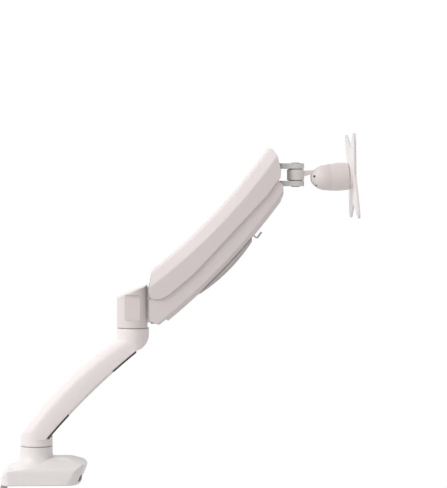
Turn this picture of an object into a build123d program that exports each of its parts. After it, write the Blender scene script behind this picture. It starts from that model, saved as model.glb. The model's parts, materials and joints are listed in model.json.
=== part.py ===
# Desk monitor arm with a clamp base, a curved lower arm, a gas spring upper arm and a tilting plate head.
# The origin is on the desk under the base column. +X runs along the arm, +Z is up, lengths in millimetres.
import os
from math import atan2, cos, degrees, hypot, pi, radians, sin, sqrt

from build123d import *

# Axes of the arm at rest
column_radius = 22.4
base_height = 50.0
elbow_reach = 135.0
elbow_height = 216.0
post_flat = 2.0
pivot_standoff = 16.1
upper_pivot_rise = 60.5
pivot_spacing = 36.4
link_length = 231.8
rest_pitch = 47.0
wrist_reach = 33.6
fork_lift = 1.7
tilt_reach = 36.2
tilt_drop = 1.4
rest_tilt = 3.5

# Fits
running_fit = 0.05
static_fit = 0.02
swing_gap = 0.5
ring_gap = 1.2
small_gap = 0.2
slip_gap = 0.1
head_gap = 0.4
end_gap = 0.5
ring_inset = 0.8

# Base cover, plate and pad
foot_rear = 48.0
foot_front = 71.0
foot_half_width = 45.0
foot_rear_height = 10.5
foot_shoulder_height = 22.0
foot_crown_height = 36.5
foot_front_height = 25.0
foot_undercut = 10.0
foot_flare_drop = 1.5
foot_saddle_x = -5.0
foot_saddle_rise = 1.5
foot_crown_start = 22.0
foot_crown_start_fall = 1.0
foot_crown_end = 44.0
foot_crown_end_fall = 1.5
foot_side_rounds = (0.0, 3.0, 14.0, 30.0, 16.0, 40.0, 0.0, 0.0)
foot_lean = 1.0
foot_crown_half_width = 27.0
foot_crown_side_fall = 3.0
foot_end_rounds = (0.0, 9.0, 30.0, 60.0, 30.0, 9.0, 0.0)
foot_corner = 14.0
foot_front_corner = 18.0
front_arc_depth = 9.0
flare_radius = 40.0
flare_height = 20.5
neck_straight = 8.5
neck_curve_out = 0.2
neck_curve_down = 0.52
cover_wall = 3.0
rib_places = (-29.0, 36.0)
rib_thick = 3.0
plate_thick = 5.0
plate_leg_rise = 2.0
pad_thick = 1.5
plate_front_inset = 25.0
front_slot_half_width = 33.0
front_slot_bottom = 3.5
front_slot_top = 12.5
front_slot_recess = 1.2
front_slot_thick = 3.0

# Base spindle
spindle_radius = 11.0
spindle_flange_radius = 18.0
spindle_flange_thick = 6.0
spindle_top = 70.0
bush_wall = 2.0
spindle_bolt_radius = 4.0
spindle_bolt_head_radius = 6.5
spindle_bolt_head = 3.0
spindle_bolt_length = 16.0
spindle_bolt_socket = 2.9
spindle_bolt_socket_depth = 2.0
grub_radius = 3.0
grub_height = 60.0
grub_groove = 1.5
grub_socket_radius = 1.7
grub_socket_depth = 3.5
grub_tip_gap = 0.3
grub_inset = 0.6
blind_hole_room = 2.0

# Desk clamp
clamp_leg_depth = 66.0
jaw_thick = 6.0
jaw_drop = 4.0
jaw_half_width = 24.0
jaw_leg_top = 22.0
jaw_nose = 18.0
jaw_screw_radius = 3.0
jaw_screw_head_radius = 5.0
jaw_screw_head = 4.0
jaw_screw_socket = 2.5
jaw_screw_socket_depth = 2.5
clamp_gap = 38.0
clamp_pad_radius = 19.0
clamp_pad_thick = 3.0
clamp_disc_radius = 20.0
clamp_disc_thick = 5.0
clamp_disc_chamfer = 1.5
clamp_screw_radius = 5.0
clamp_tip_radius = 4.0
clamp_tip_depth = 3.0
thread_pitch = 2.0
thread_depth = 0.9
knob_below_jaw = 30.0
knob_height = 18.0
knob_radius = 17.0
knob_lobes = 6
knob_scoop_at = 21.8
knob_scoop_radius = 7.1
knob_round = 2.0

# Lower arm casting
hub_cap_height = 12.5
arm_end_drop = 18.0
arm_bow = 8.8
arm_depth = 60.0
arm_top_round = 13.0
arm_start_swing = 4.0
arm_end_swing = 7.0
arm_side_bow = 2.2
arm_side_middle = 18.5
underside_start = (13.3, 10.9)
underside_end = (4.3, 31.4)
underside_bow = 4.2
elbow_corner = 19.6
elbow_corner_in = 0.3
elbow_corner_up = 0.36
channel_half_width = 14.0
channel_roof = 7.0
channel_start = 24.0
channel_lead = 45.0
channel_end_inset = 14.0
cover_start = 44.5
cover_end_inset = 29.0
cover_proud = 2.8
cover_half_width = 18.0
cover_round = 2.0
clip_wall = 2.0
clip_height = 7.0
clip_inset = 12.0
guide_proud = 2.8
guide_half_width = 19.5
guide_start = 15.5
guide_end_past = 3.0
guide_slot_half_width = 7.0
guide_slot_margin = 3.0
guide_gap = 0.6
guide_round = 1.0
guide_seat_round = 0.2

# Elbow
elbow_bush_length = 15.6
elbow_floor = 4.0
retainer_radius = 10.0
retainer_thick = 2.6
spigot_radius = 4.9
retainer_screw_radius = 3.0
retainer_screw_head_radius = 6.5
retainer_screw_head = 4.4
retainer_screw_length = 14.0
retainer_socket = 2.9
retainer_socket_depth = 2.5
elbow_recess_radius = 11.0
spindle_seat = 20.0
post_front_height = 60.0
post_slope = 23.0
post_cavity_radius = 14.0
post_cavity_shift = 5.0
post_cavity_floor = 26.0
post_cap_thick = 4.0
post_cap_plug = 3.0
post_cap_round = 1.2
panel_half_width = 10.5
panel_height = 36.0
panel_bottom = 10.0
panel_thick = 1.6
panel_corner = 3.0

# Pieces side by side across the arm, from the middle outwards
rod_eye_half = 3.6
slide_gap = 0.3
yoke_wall = 1.8
cheek_wall = 3.0
link_gap = 0.4
lower_link_wall = 3.0
upper_link_gap = 0.5
upper_link_wall = 3.5
cover_link_gap = 0.8
bottom_cover_wall = 2.2
cover_gap = 0.6
top_cover_wall = 2.4

# Pivots and links
pin_radius = 4.0
link_end_radius = 9.0
bush_radius = 5.5
bush_flange_radius = 8.0
open_pivot_clearance = 0.35
web_start = 16.0
web_end_inset = 26.0
upper_web_bottom = 3.0
upper_web_top = 5.5
lower_web_bottom = -12.0
lower_web_top = -9.5
lower_web_start = 34.0
lower_web_end_inset = 36.0
cover_boss_radius = 4.0
cover_screw_radius = 1.5
cover_screw_head_radius = 3.0
cover_screw_head = 1.8
cover_screw_bite = 2.0
floor_boss_height = 6.0
screw_room = 0.3
upper_boss_start = 56.0
upper_boss_inset = 34.8
lower_boss_start = 60.0
lower_boss_inset = 81.8

# Gas spring and its tension adjuster
spring_anchor_inset = 36.8
spring_anchor_v = -6.0
trunnion_drop = 14.0
trunnion_radius = 2.5
trunnion_play_along = 3.4
trunnion_play_across = 5.6
rod_eye_wall = 2.8
anchor_pin_radius = 3.5
anchor_eye_radius = 6.5
anchor_neck_width = 9.1
cylinder_radius = 8.6
cylinder_wall = 1.4
cylinder_start = 12.0
cylinder_length = 112.0
cylinder_cap = 6.0
rod_radius = 3.5
piston_length = 8.0
piston_from_cap = 2.0
tension_screw_radius = 3.0
tension_screw_inset = 6.5
tension_head_radius = 5.0
tension_head = 5.0
tension_socket = 2.9
tension_socket_depth = 3.0
tension_bridge = 3.5
tension_bridge_below_pivot = 14.1
tension_nut_height = 8.0
tension_nut_above_bridge = 4.5
tension_nut_half = 5.0
bracket_plate = 3.0
bracket_below_pivot = 8.0
bracket_screw_radius = 2.5
bracket_screw_head_radius = 4.2
bracket_screw_head = 1.8
bracket_screw_length = 10.0
bracket_screw_socket = 2.0
bracket_screw_socket_depth = 1.2
bracket_screw_low = 6.0
bracket_screw_high = 13.5

# Upper arm covers, measured along and across each link from its elbow pivot
crown_left = (10.0, 20.5)
crown_right = (11.0, 18.5)
crown_sag = 8.5
crown_half_width = 15.0
crown_drop = 3.5
shoulder_drop = 16.5
shoulder_round = 4.0
skirt_depth = 25.2
nose_web_height = 7.0
nose_opening = 8.0
floor_left = -19.4
floor_right = -21.0
floor_bow = 6.8
floor_chamfer = 6.0
floor_round = 2.5
floor_end_inset = 6.8
clear_of_cover = 40.0
clear_of_arm = 60.0
floor_edge = -2.0
floor_start = 16.0
floor_wall_top = 13.5
bottom_end_radius = 19.4
duct_start = 54.0
duct_end_inset = 69.8
duct_depth = 6.2
duct_half_width = 15.0
duct_wall = 1.8
duct_chamfer = 3.0
duct_drill_depth = 25.0
duct_end_slant = 3.0
duct_start_depth = 1.6
duct_stop_depth = 3.4
hook_inset = 65.8
hook_length = 12.0
hook_depth = 7.0
hook_half_width = 5.0
hook_wall = 2.0
hook_root = 1.0
hook_tip_rise = 1.0
hook_round = 1.0

# Wrist fork, swivel knuckle, head and plate
ear_thick = 7.6
ear_gap = 16.8
ear_half_width = 12.0
ear_start = 12.8
swivel_pin_radius = 5.0
swivel_washer = 1.0
swivel_washer_radius = 10.0
knuckle_radius = 12.0
tongue_root_reach = 7.2
tongue_half_width = 6.0
tongue_root = 8.9
tongue_rise = 0.9
tongue_neck = 4.8
tongue_neck_rise = 4.1
tongue_neck_reach = 26.0
tongue_eye_radius = 7.5
tilt_washer = 0.4
tilt_washer_inset = 1.0
tilt_bolt_radius = 3.0
tilt_bolt_head_radius = 5.0
tilt_bolt_head = 4.0
tilt_bolt_seat = 10.5
tilt_bolt_reach = 13.0
tilt_bolt_socket = 2.9
tilt_bolt_socket_depth = 2.5
head_drop = 2.9
head_front = 38.1
head_front_radius = 18.6
head_waist_radius = 19.5
head_waist_at = 0.74
dome_start_at = 0.34
dome_via_back = 0.3
dome_via_out = 0.86
head_back = -14.8
head_back_radius = 7.0
head_slot_depth = 9.6
chamber_radius = 15.0
chamber_start = 14.0
head_disc_thick = 6.0
rotation_washer = 0.8
rotation_washer_radius = 16.5
plate_boss_radius = 17.6
plate_boss = 3.5
rotation_spindle_radius = 8.0
spindle_washer_radius = 12.0
spindle_washer_thick = 2.0
spindle_nut_radius = 10.5
spindle_nut_thick = 6.0
vesa_plate_thick = 3.0
vesa_half = 59.0
vesa_notch = 38.5
vesa_notch_round = 2.5
vesa_lobe = 12.0
vesa_tip_round = 7.0
vesa_small_pitch = 75.0
vesa_large_pitch = 100.0
vesa_hole_radius = 2.25

# Places worked out from the layout
side = Plane(origin=(0, 0, 0), x_dir=(1, 0, 0), z_dir=(0, -1, 0))
post_face_x = elbow_reach + column_radius - post_flat
pivot_x = post_face_x + pivot_standoff
elbow_upper = (pivot_x, elbow_height + upper_pivot_rise)
elbow_lower = (pivot_x, elbow_upper[1] - pivot_spacing)
along = (cos(radians(rest_pitch)), sin(radians(rest_pitch)))
wrist_upper = (pivot_x + link_length * along[0], elbow_upper[1] + link_length * along[1])
wrist_lower = (wrist_upper[0], wrist_upper[1] - pivot_spacing)
swivel_x = wrist_upper[0] + wrist_reach
fork_mid_z = wrist_upper[1] - pivot_spacing / 2 + fork_lift
tilt_x = swivel_x + tilt_reach
tilt_z = fork_mid_z - tilt_drop
link_axes = {"x_dir": (along[0], 0, along[1]), "z_dir": (0, -1, 0)}
upper_plane = Plane(origin=(elbow_upper[0], 0, elbow_upper[1]), **link_axes)
lower_plane = Plane(origin=(elbow_lower[0], 0, elbow_lower[1]), **link_axes)
head_place = Pos(tilt_x, 0, tilt_z) * Rot(0, -rest_tilt, 0)

yoke_in = max(rod_eye_half, rod_radius) + slide_gap
yoke_out = yoke_in + yoke_wall
cheek_in = yoke_out + slide_gap
cheek_out = cheek_in + cheek_wall
lower_in = cheek_out + link_gap
lower_out = lower_in + lower_link_wall
upper_in = lower_out + upper_link_gap
upper_out = upper_in + upper_link_wall
bottom_in = upper_out + cover_link_gap
bottom_out = bottom_in + bottom_cover_wall
top_in = bottom_out + cover_gap
top_out = top_in + top_cover_wall

spring_anchor_u = link_length - spring_anchor_inset
upper_boss_places = (upper_boss_start, link_length - upper_boss_inset)
lower_boss_places = (lower_boss_start, link_length - lower_boss_inset)
duct_end = link_length - duct_end_inset
hook_place = link_length - hook_inset

upward = (Align.CENTER, Align.CENTER, Align.MIN)
downward = (Align.CENTER, Align.CENTER, Align.MAX)
parts = {}


def outline(points, radii):
    """A flat face inside a closed outline with one corner radius for each point."""
    return make_face(FilletPolyline(*points, radius=radii, close=True))


def rod_z(radius, x, z_low, z_high, y=0.0):
    """A vertical round bar."""
    return Pos(x, y, (z_low + z_high) / 2) * Cylinder(radius, z_high - z_low)


def rod_y(radius, x, z, y_low, y_high):
    """A round bar across the arm."""
    return Pos(x, (y_low + y_high) / 2, z) * Rot(90, 0, 0) * Cylinder(radius, y_high - y_low)


def rod_x(radius, x_low, x_high, y=0.0, z=0.0):
    """A round bar along X."""
    return Pos((x_low + x_high) / 2, y, z) * Rot(0, 90, 0) * Cylinder(radius, x_high - x_low)


def block(x_low, x_high, y_low, y_high, z_low, z_high):
    """A box between two corners."""
    centre = ((x_low + x_high) / 2, (y_low + y_high) / 2, (z_low + z_high) / 2)
    return Pos(*centre) * Box(x_high - x_low, y_high - y_low, z_high - z_low)


def across(face, plane, half):
    """A flat face drawn on a plane, thickened by the same amount to both sides."""
    return extrude(plane * face, half, both=True)


def one_side(face, plane, near, far):
    """A flat face drawn on a plane, thickened between two distances from that plane."""
    return extrude(plane.offset(near) * face, far - near)


def two_sides(face, plane, near, far):
    """The same wall on both sides of the arm."""
    return one_side(face, plane, near, far) + one_side(face, plane, -far, -near)


def bar_outline(length, radius):
    """The side view of a link bar with round ends on both of its pivots."""
    return Pos(length / 2, 0) * SlotCenterToCenter(length, 2 * radius)


def arc_through(start, end, bow):
    """Centre and radius of the arc from start to end that bows to the left of the straight line by bow."""
    dx, dz = end[0] - start[0], end[1] - start[1]
    chord = hypot(dx, dz)
    radius = (chord * chord / 4 + bow * bow) / (2 * abs(bow))
    reach = (radius - abs(bow)) * (1 if bow > 0 else -1)
    centre = ((start[0] + end[0]) / 2 + dz / chord * reach, (start[1] + end[1]) / 2 - dx / chord * reach)
    return centre, radius


def arc_middle(start, end, bow):
    """The middle point of the same arc."""
    dx, dz = end[0] - start[0], end[1] - start[1]
    chord = hypot(dx, dz)
    return ((start[0] + end[0]) / 2 - dz / chord * bow, (start[1] + end[1]) / 2 + dx / chord * bow)


def swung(section, centre, angle_from, angle_to):
    """A section drawn as (radius, y) turned about an axis across the arm from one angle to another."""
    low, high = min(angle_from, angle_to), max(angle_from, angle_to)
    turn = (cos(radians(low)), 0, sin(radians(low)))
    plane = Plane(origin=(centre[0], 0, centre[1]), x_dir=turn, z_dir=(-turn[2], 0, turn[0]))
    axis = Axis((centre[0], 0, centre[1]), (0, -1, 0))
    return revolve(plane * section, axis=axis, revolution_arc=high - low)


def angle_at(centre, point):
    """Direction of a point from a centre, in degrees from +X towards +Z."""
    return degrees(atan2(point[1] - centre[1], point[0] - centre[0]))


def angle_for_x(centre, radius, x):
    """Direction of the point of a circle above its centre that has the given X."""
    return degrees(atan2(sqrt(radius * radius - (x - centre[0]) ** 2), x - centre[0]))


# Base: cover, plate with its clamp leg, pad, spindle and front slot trim
plate_top = pad_thick + plate_thick
leg_top = plate_top + plate_leg_rise
plate_half_width = foot_half_width - foot_corner
neck_top = base_height


def foot_plan(front, inset):
    """The foot seen from above with a bowed front edge, drawn in by an inset."""
    arc_x = front - front_arc_depth
    plan = make_face(
        Polyline(
            (arc_x, foot_half_width),
            (-foot_rear, foot_half_width),
            (-foot_rear, -foot_half_width),
            (arc_x, -foot_half_width),
        )
        + ThreePointArc((arc_x, -foot_half_width), (front, 0), (arc_x, foot_half_width))
    )
    plan = fillet(plan.vertices().group_by(Axis.X)[0], foot_corner)
    plan = fillet(plan.vertices().group_by(Axis.X)[-1], foot_front_corner)
    if inset:
        plan = offset(plan, -inset)
    return plan


def foot_body(inset):
    """The foot as the space that its side outline, end outline and leaning wall share, less an inset."""
    far = 2 * foot_front
    crown_end_height = foot_crown_height - foot_crown_end_fall
    slope = (crown_end_height - foot_front_height) / (foot_front - foot_crown_end)
    side_view = outline(
        [
            (-foot_rear, -cover_wall),
            (-foot_rear, foot_rear_height),
            (-flare_radius, flare_height - foot_flare_drop),
            (foot_saddle_x, foot_shoulder_height + foot_saddle_rise),
            (foot_crown_start, foot_crown_height - foot_crown_start_fall),
            (foot_crown_end, crown_end_height),
            (far, foot_front_height - slope * (far - foot_front)),
            (far, -cover_wall),
        ],
        foot_side_rounds,
    )
    end_view = outline(
        [
            (-foot_half_width, -cover_wall),
            (-foot_half_width + foot_lean, foot_shoulder_height),
            (-foot_crown_half_width, foot_crown_height - foot_crown_side_fall),
            (0, foot_crown_height),
            (foot_crown_half_width, foot_crown_height - foot_crown_side_fall),
            (foot_half_width - foot_lean, foot_shoulder_height),
            (foot_half_width, -cover_wall),
        ],
        foot_end_rounds,
    )
    ends = Plane(origin=(0, 0, 0), x_dir=(0, 1, 0), z_dir=(1, 0, 0))
    if inset:
        side_view, end_view = (offset(view, -inset) for view in (side_view, end_view))
    low = Pos(0, 0, -cover_wall) * foot_plan(foot_front - foot_undercut, inset)
    high = Pos(0, 0, foot_front_height) * foot_plan(foot_front, inset)
    wall = loft([low, high], ruled=True) + extrude(high, foot_crown_height)
    body = across(side_view, side, 2 * foot_half_width) & wall
    return body & extrude(ends * end_view, far, both=True)


def neck_body(inset, top, bottom):
    """The round neck that flares into the foot."""
    radius = column_radius - inset
    flare = flare_radius - inset
    start = base_height - neck_straight
    profile = make_face(
        Polyline(
            (flare, flare_height),
            (flare, bottom),
            (0, bottom),
            (0, top),
            (radius, top),
            (radius, start),
        )
        + ThreePointArc(
            (radius, start),
            (radius + neck_curve_out * (flare - radius), start - neck_curve_down * (start - flare_height)),
            (flare, flare_height),
        )
    )
    return revolve(Plane.XZ * profile, axis=Axis.Z)


def base_group():
    outer = foot_body(0) + neck_body(0, neck_top, foot_rear_height)
    outer = outer & block(-foot_rear, foot_front, -foot_half_width, foot_half_width, 0, neck_top)
    room = foot_body(cover_wall) + neck_body(cover_wall, neck_top - cover_wall, foot_rear_height)
    for x in rib_places:
        rib_low, rib_high = x - rib_thick / 2, x + rib_thick / 2
        room = room - block(rib_low, rib_high, -foot_half_width, foot_half_width, plate_top, neck_top)
    notch_half = plate_half_width + swing_gap
    notch_end = -foot_rear + plate_thick + swing_gap
    rear_notch = block(-2 * foot_rear, notch_end, -notch_half, notch_half, -1, leg_top + swing_gap)
    spindle_hole = rod_z(spindle_radius + bush_wall, 0, 0, base_height)
    slot_box = block(
        foot_front - 2 * foot_front_corner,
        2 * foot_front,
        -front_slot_half_width,
        front_slot_half_width,
        front_slot_bottom,
        front_slot_top,
    )
    solid_foot = foot_body(0)
    slot_back = Pos(-front_slot_recess - front_slot_thick, 0, 0) * solid_foot
    slot_room = (solid_foot & slot_box) - slot_back
    trim = (Pos(-front_slot_recess, 0, 0) * solid_foot & slot_box) - slot_back
    parts["base_cover"] = outer - room - rear_notch - spindle_hole - slot_room
    parts["base_slot_trim"] = trim

    plate_x = foot_front - plate_front_inset
    seat = block(-foot_rear, plate_x, -plate_half_width, plate_half_width, pad_thick, plate_top)
    leg_front = -foot_rear + plate_thick
    leg = block(-foot_rear, leg_front, -plate_half_width, plate_half_width, -clamp_leg_depth, leg_top)
    bolt_hole = rod_z(spindle_bolt_radius + small_gap, 0, 0, base_height)
    bolt_seat = rod_z(spindle_bolt_head_radius + head_gap, 0, 0, pad_thick + spindle_bolt_head)
    plate = seat + leg - bolt_hole - bolt_seat
    for z in jaw_screw_heights():
        plate = plate - rod_x(jaw_screw_radius + static_fit, -2 * foot_rear, 0, 0, z)
    parts["base_plate"] = plate
    parts["base_pad"] = block(leg_front, plate_x, -plate_half_width, plate_half_width, 0, pad_thick)

    shaft = rod_z(spindle_flange_radius, 0, plate_top, plate_top + spindle_flange_thick)
    shaft = shaft + rod_z(spindle_radius, 0, plate_top, spindle_top)
    groove_half = grub_radius + end_gap
    groove = rod_z(2 * spindle_radius, 0, grub_height - groove_half, grub_height + groove_half)
    groove = groove - rod_z(spindle_radius - grub_groove, 0, base_height, spindle_top)
    bolt_top = pad_thick + spindle_bolt_head + spindle_bolt_length
    thread = rod_z(spindle_bolt_radius + static_fit, 0, plate_top, bolt_top + blind_hole_room)
    parts["base_spindle"] = shaft - groove - thread
    bolt = rod_z(spindle_bolt_radius, 0, pad_thick + spindle_bolt_head, bolt_top)
    head = rod_z(spindle_bolt_head_radius, 0, pad_thick + small_gap, pad_thick + spindle_bolt_head)
    socket = Pos(0, 0, pad_thick) * extrude(RegularPolygon(spindle_bolt_socket, 6), spindle_bolt_socket_depth)
    parts["spindle_bolt"] = bolt + head - socket
    ring = rod_z(column_radius - ring_inset, 0, base_height, base_height + ring_gap)
    parts["base_ring"] = ring - rod_z(spindle_radius + bush_wall, 0, base_height, base_height + ring_gap)


# Desk clamp: jaw bolted to the plate's leg, screw, knob and swivelling pad
jaw_top = -clamp_leg_depth - jaw_drop
jaw_bottom = jaw_top - jaw_thick


def jaw_screw_heights():
    """The two clamp jaw screws stand at thirds of the jaw's upright leg."""
    span = clamp_leg_depth - jaw_leg_top
    return (-jaw_leg_top - span / 4, -clamp_leg_depth + span / 4)


def clamp_group():
    rear = -foot_rear - plate_thick
    leg = block(rear, -foot_rear, -jaw_half_width, jaw_half_width, jaw_bottom, -jaw_leg_top)
    shelf = block(rear, 0, -jaw_half_width, jaw_half_width, jaw_bottom, jaw_top)
    nose = rod_z(jaw_half_width, 0, jaw_bottom, jaw_top) & block(
        0, jaw_nose, -jaw_half_width, jaw_half_width, jaw_bottom, jaw_top
    )
    jaw = leg + shelf + nose - rod_z(clamp_screw_radius + running_fit, 0, jaw_bottom, jaw_top)
    screws = []
    for z in jaw_screw_heights():
        jaw = jaw - rod_x(jaw_screw_radius + static_fit, rear, -foot_rear, 0, z)
        head = rod_x(jaw_screw_head_radius, rear - jaw_screw_head, rear, 0, z)
        shank = rod_x(jaw_screw_radius, rear, -foot_rear + plate_thick, 0, z)
        hexagon = extrude(RegularPolygon(jaw_screw_socket, 6), jaw_screw_socket_depth)
        socket = Pos(rear - jaw_screw_head, 0, z) * Rot(0, 90, 0) * hexagon
        screws.append(head + shank - socket)
    parts["clamp_jaw"] = jaw
    parts["clamp_jaw_screws"] = Compound(children=screws)

    pad_bottom = -clamp_gap - clamp_pad_thick
    disc_bottom = pad_bottom - clamp_disc_thick
    parts["clamp_pad"] = rod_z(clamp_pad_radius, 0, pad_bottom, -clamp_gap)
    disc = rod_z(clamp_disc_radius, 0, disc_bottom, pad_bottom)
    disc = chamfer(disc.edges().group_by(Axis.Z)[0], clamp_disc_chamfer)
    tip_top = disc_bottom + clamp_tip_depth
    parts["clamp_disc"] = disc - rod_z(clamp_tip_radius + running_fit, 0, disc_bottom, tip_top)

    knob_top = jaw_bottom - knob_below_jaw
    turns = int((disc_bottom - 1 - knob_top) / thread_pitch)
    crest, root = clamp_screw_radius, clamp_screw_radius - thread_depth
    profile = [(0, knob_top), (crest, knob_top)]
    for turn in range(turns):
        z = knob_top + turn * thread_pitch
        profile += [(crest, z + 0.25 * thread_pitch), (root, z + 0.5 * thread_pitch)]
        profile += [(root, z + 0.75 * thread_pitch), (crest, z + thread_pitch)]
    profile += [(crest, disc_bottom), (clamp_tip_radius, disc_bottom)]
    profile += [(clamp_tip_radius, tip_top), (0, tip_top)]
    screw = revolve(Plane.XZ * make_face(Polyline(*profile, close=True)), axis=Axis.Z)
    stub = rod_z(clamp_tip_radius, 0, knob_top - knob_height / 2, knob_top)
    parts["clamp_screw"] = screw + stub

    grip = Circle(knob_radius)
    for lobe in range(knob_lobes):
        turn = 2 * pi * (lobe + 0.5) / knob_lobes
        grip = grip - Pos(knob_scoop_at * cos(turn), knob_scoop_at * sin(turn)) * Circle(knob_scoop_radius)
    grip = fillet(grip.vertices(), knob_round)
    knob = extrude(Pos(0, 0, knob_top - knob_height) * grip, knob_height)
    knob = fillet(knob.edges().group_by(Axis.Z)[0], knob_round)
    knob = knob - rod_z(clamp_tip_radius + static_fit, 0, knob_top - knob_height / 2, knob_top)
    parts["clamp_knob"] = knob


# Lower arm: casting between the two swivel columns, its cable cover, end guides and bushes
arm_bottom = base_height + ring_gap
arm_top = elbow_height - ring_gap
arm_low = (-column_radius, base_height + ring_gap + hub_cap_height)
arm_high = (elbow_reach - column_radius, elbow_height - arm_end_drop)
arm_centre, arm_radius = arc_through(arm_low, arm_high, arm_bow)
under_low = (underside_start[0], base_height + underside_start[1])
under_high = (elbow_reach + underside_end[0], elbow_height - underside_end[1])
channel_end = elbow_reach - channel_end_inset
cover_end = elbow_reach - cover_end_inset
guide_end = elbow_reach + guide_end_past
under_centre, under_radius = arc_through(under_low, under_high, underside_bow)


def underside_strip(proud, half_width, x_from, x_to, round_edge):
    """A strip that hugs the casting's underside between two X positions."""
    strip = Pos(under_radius - proud / 2, 0) * Rectangle(proud, 2 * half_width)
    strip = fillet(strip.vertices().group_by(Axis.X)[0], round_edge)
    first = angle_for_x(under_centre, under_radius, x_from)
    last = angle_for_x(under_centre, under_radius, x_to)
    return swung(strip, under_centre, first, last)


def lower_arm_group():
    widest = column_radius + static_fit
    top_half = widest - arm_side_bow
    side_radius = (arm_side_middle**2 + arm_side_bow**2) / (2 * arm_side_bow)
    low_half = widest - side_radius + sqrt(side_radius**2 - (arm_depth - arm_side_middle) ** 2)
    top_r, mid_r, low_r = arm_radius, arm_radius - arm_side_middle, arm_radius - arm_depth
    section = make_face(
        ThreePointArc((low_r, -low_half), (mid_r, -widest), (top_r, -top_half))
        + Line((top_r, -top_half), (top_r, top_half))
        + ThreePointArc((top_r, top_half), (mid_r, widest), (low_r, low_half))
        + Line((low_r, low_half), (low_r, -low_half))
    )
    section = fillet(section.vertices().group_by(Axis.X)[-1], arm_top_round)
    first = angle_at(arm_centre, arm_low) + arm_start_swing
    last = angle_at(arm_centre, arm_high) - arm_end_swing
    beam = swung(section, arm_centre, first, last)
    plan = Pos(elbow_reach / 2, 0) * SlotCenterToCenter(elbow_reach, 2 * column_radius)
    beam = beam & extrude(Pos(0, 0, arm_bottom) * plan, arm_top - arm_bottom)

    right = elbow_reach + column_radius
    corner_mid = (right - elbow_corner_in * elbow_corner, under_high[1] + elbow_corner_up * elbow_corner)
    above_underside = make_face(
        ThreePointArc(under_low, arc_middle(under_low, under_high, underside_bow), under_high)
        + ThreePointArc(under_high, corner_mid, (right, under_high[1] + elbow_corner))
        + Polyline(
            (right, under_high[1] + elbow_corner),
            (right, 2 * elbow_height),
            (-elbow_reach, 2 * elbow_height),
            (-elbow_reach, under_low[1]),
            under_low,
        )
    )
    keep = across(above_underside, side, 2 * column_radius)
    hub = rod_z(column_radius, elbow_reach, arm_high[1] - arm_end_drop, arm_top)
    cap = rod_z(column_radius, 0, arm_bottom, arm_bottom + hub_cap_height)
    cap = cap - underside_strip(
        guide_proud + guide_gap,
        2 * column_radius,
        guide_start - guide_gap,
        column_radius + cover_proud,
        guide_seat_round,
    )
    arm = ((beam + hub) & keep) + cap

    channel = Pos(arm_radius - channel_roof - arm_depth / 2, 0) * Rectangle(arm_depth, 2 * channel_half_width)
    mid_radius = arm_radius - channel_roof
    channel_cut = swung(
        channel,
        arm_centre,
        angle_for_x(arm_centre, mid_radius, channel_start - channel_lead),
        angle_for_x(arm_centre, mid_radius, channel_end),
    )
    channel_top = arm_top - elbow_bush_length - 2 * elbow_floor
    channel_cut = channel_cut & block(
        channel_start, channel_end, -column_radius, column_radius, arm_bottom, channel_top
    )
    bore_radius = spindle_radius + bush_wall
    arm = arm - channel_cut
    arm = arm - rod_z(bore_radius + static_fit, 0, arm_bottom, spindle_top + end_gap)
    arm = arm - rod_y(grub_radius + static_fit, 0, grub_height, 0, 2 * column_radius)
    floor_top = arm_top - elbow_bush_length
    floor_low = floor_top - elbow_floor
    arm = arm - rod_z(bore_radius + static_fit, elbow_reach, floor_top, arm_top)
    arm = arm - rod_z(spigot_radius + slip_gap, elbow_reach, floor_low, floor_top)
    arm = arm - rod_z(elbow_recess_radius, elbow_reach, arm_bottom, floor_low)
    parts["lower_arm"] = arm

    bush = rod_z(bore_radius, 0, arm_bottom, spindle_top)
    bush = bush - rod_z(spindle_radius + running_fit, 0, 0, elbow_height)
    bush = bush - rod_y(grub_radius + static_fit, 0, grub_height, 0, column_radius)
    parts["base_bush"] = bush
    grub_tip = spindle_radius - grub_groove + running_fit
    grub_hexagon = extrude(RegularPolygon(grub_socket_radius, 6), grub_socket_depth)
    grub_socket = Pos(0, column_radius, grub_height) * Rot(90, 0, 0) * grub_hexagon
    grub = rod_y(grub_radius, 0, grub_height, grub_tip + grub_tip_gap, column_radius - grub_inset)
    parts["base_grub_screw"] = grub - grub_socket
    elbow_bush = rod_z(bore_radius, elbow_reach, floor_top, arm_top)
    parts["elbow_bush"] = elbow_bush - rod_z(spindle_radius + running_fit, elbow_reach, floor_top, arm_top)
    ring = rod_z(column_radius - ring_inset, elbow_reach, arm_top, elbow_height)
    parts["elbow_ring"] = ring - rod_z(bore_radius, elbow_reach, arm_top, elbow_height)

    cover = underside_strip(cover_proud, cover_half_width, cover_start, cover_end, cover_round)
    clip_half = channel_half_width - static_fit
    clip = Rectangle(clip_height, 2 * clip_half) - Rectangle(clip_height, 2 * (clip_half - clip_wall))
    clip = Pos(under_radius + clip_height / 2, 0) * clip
    clips = swung(
        clip,
        under_centre,
        angle_for_x(under_centre, under_radius, cover_start + clip_inset),
        angle_for_x(under_centre, under_radius, cover_end - clip_inset),
    )
    parts["lower_cable_cover"] = cover + clips

    low_end = cover_start - guide_gap
    low_guide = underside_strip(guide_proud, guide_half_width, guide_start, low_end, guide_round)
    low_guide = low_guide - block(
        channel_start + guide_slot_margin,
        cover_start - guide_slot_margin,
        -guide_slot_half_width,
        guide_slot_half_width,
        0,
        elbow_height,
    )
    parts["lower_cable_guide"] = low_guide
    high_start = cover_end + guide_gap
    high_guide = underside_strip(guide_proud, guide_half_width, high_start, guide_end, guide_round)
    high_guide = high_guide - block(
        cover_end + guide_slot_margin,
        channel_end,
        -guide_slot_half_width,
        guide_slot_half_width,
        0,
        elbow_height,
    )
    parts["upper_cable_guide"] = high_guide


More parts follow.
